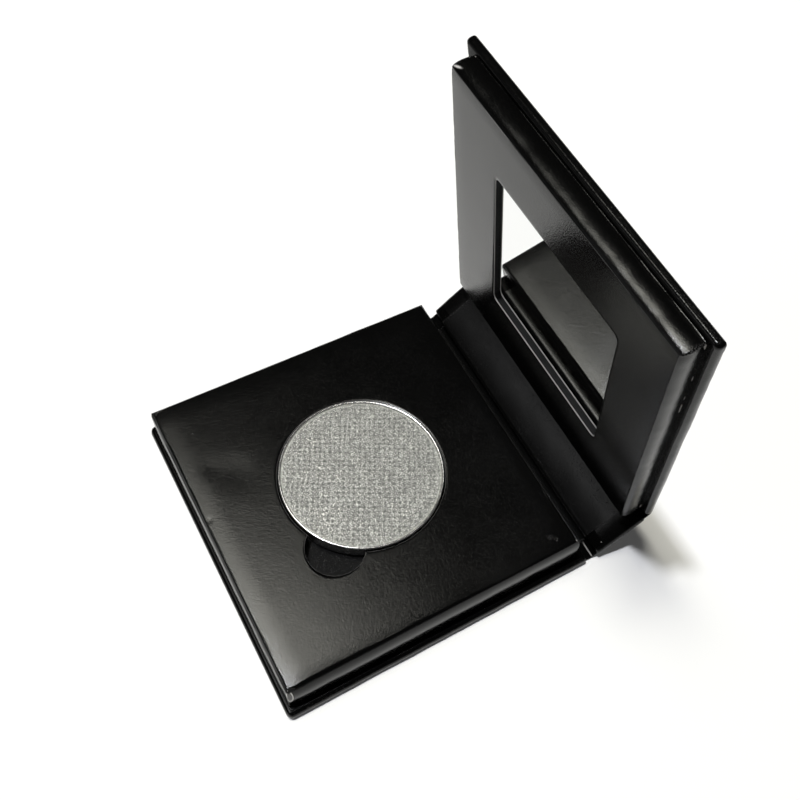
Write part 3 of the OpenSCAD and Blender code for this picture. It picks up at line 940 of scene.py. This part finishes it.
def world():
    """A dark ceiling, a pale patch beyond the opening edge and a brighter horizon.

    The camera itself sees white."""
    w = bpy.data.worlds.new("studio")
    bpy.context.scene.world = w
    w.use_nodes = True
    tree = w.node_tree
    tree.nodes.clear()
    coord = tree.nodes.new("ShaderNodeTexCoord")
    split = tree.nodes.new("ShaderNodeSeparateXYZ")
    tree.links.new(coord.outputs["Generated"], split.inputs[0])

    def ramp(value, low, high, to_low, to_high):
        node = tree.nodes.new("ShaderNodeMapRange")
        node.interpolation_type = "SMOOTHSTEP"
        tree.links.new(value, node.inputs["Value"])
        for key, number in (("From Min", low), ("From Max", high), ("To Min", to_low), ("To Max", to_high)):
            node.inputs[key].default_value = number
        return node.outputs[0]

    def combine(operation, a, b):
        node = tree.nodes.new("ShaderNodeMath")
        node.operation = operation
        tree.links.new(a, node.inputs[0])
        tree.links.new(b, node.inputs[1])
        return node.outputs[0]

    horizon = ramp(split.outputs["Z"], 0.0, 0.35, 0.25, 0.012)
    wall = ramp(split.outputs["Y"], -0.68, -0.50, 2.3, 0.0)
    for axis, *limits in (("Z", 0.49, 0.57, 0.0, 1.0), ("Z", 0.59, 0.67, 1.0, 0.0),
                          ("X", -0.6, -0.2, 0.1, 1.0), ("X", -0.19, -0.10, 1.0, 0.0)):
        wall = combine("MULTIPLY", wall, ramp(split.outputs[axis], *limits))
    level = combine("ADD", horizon, wall)
    path = tree.nodes.new("ShaderNodeLightPath")
    ambient = tree.nodes.new("ShaderNodeBackground")
    tree.links.new(level, ambient.inputs["Strength"])
    white = tree.nodes.new("ShaderNodeBackground")
    pick = tree.nodes.new("ShaderNodeMixShader")
    out = tree.nodes.new("ShaderNodeOutputWorld")
    ambient.inputs["Color"].default_value = (1, 1, 1, 1)
    white.inputs["Color"].default_value = (1, 1, 1, 1)
    tree.links.new(path.outputs["Is Camera Ray"], pick.inputs[0])
    tree.links.new(ambient.outputs[0], pick.inputs[1])
    tree.links.new(white.outputs[0], pick.inputs[2])
    tree.links.new(pick.outputs[0], out.inputs[0])


world()


def panel(name, x0, x1, y0, y1, radiance, colour=(1.0, 0.985, 0.885)):
    """A level lamp far overhead, which fills these ranges of X and Y in directions from the palette."""
    far = 3.0
    low, high = Vector((x0, y0)), Vector((x1, y1))
    up = math.sqrt(1 - ((low + high) / 2).length_squared)
    middle, size = (low + high) * (far / 2 / up), (high - low) * (far / up)
    data = bpy.data.lights.new(name, "AREA")
    data.shape = "RECTANGLE"
    data.size, data.size_y = size
    data.color = colour
    data.energy = radiance * math.pi * size.x * size.y
    obj = bpy.data.objects.new(name, data)
    bpy.context.scene.collection.objects.link(obj)
    obj.location = (middle.x, middle.y, far)


panel("overhead", -0.33, -0.16, -0.16, 0.085, 14.6)
panel("overhead_middle", -0.25, -0.16, -0.16, 0.10, 16.0)
panel("overhead_low", -0.38, -0.16, -0.17, -0.04, 10.0)
panel("overhead_spill", -0.49, -0.16, -0.212, 0.02, 6.8)
panel("overhead_core", -0.162, -0.112, -0.210, -0.160, 720.0, (0.98, 1.0, 1.06))

camera = bpy.data.cameras.new("camera")
camera.sensor_width = 36
camera.lens = 43.484
camera.shift_x, camera.shift_y = -0.07212, 0.02468
camera.clip_start, camera.clip_end = 0.01, 20
eye = bpy.data.objects.new("camera", camera)
bpy.context.scene.collection.objects.link(eye)
eye.location = (0.084003, -0.046379, 0.201860)
eye.rotation_euler = Euler((0.523558, -0.099978, 1.046367), "XYZ")
bpy.context.scene.camera = eye
bpy.context.scene.view_settings.view_transform = "Standard"
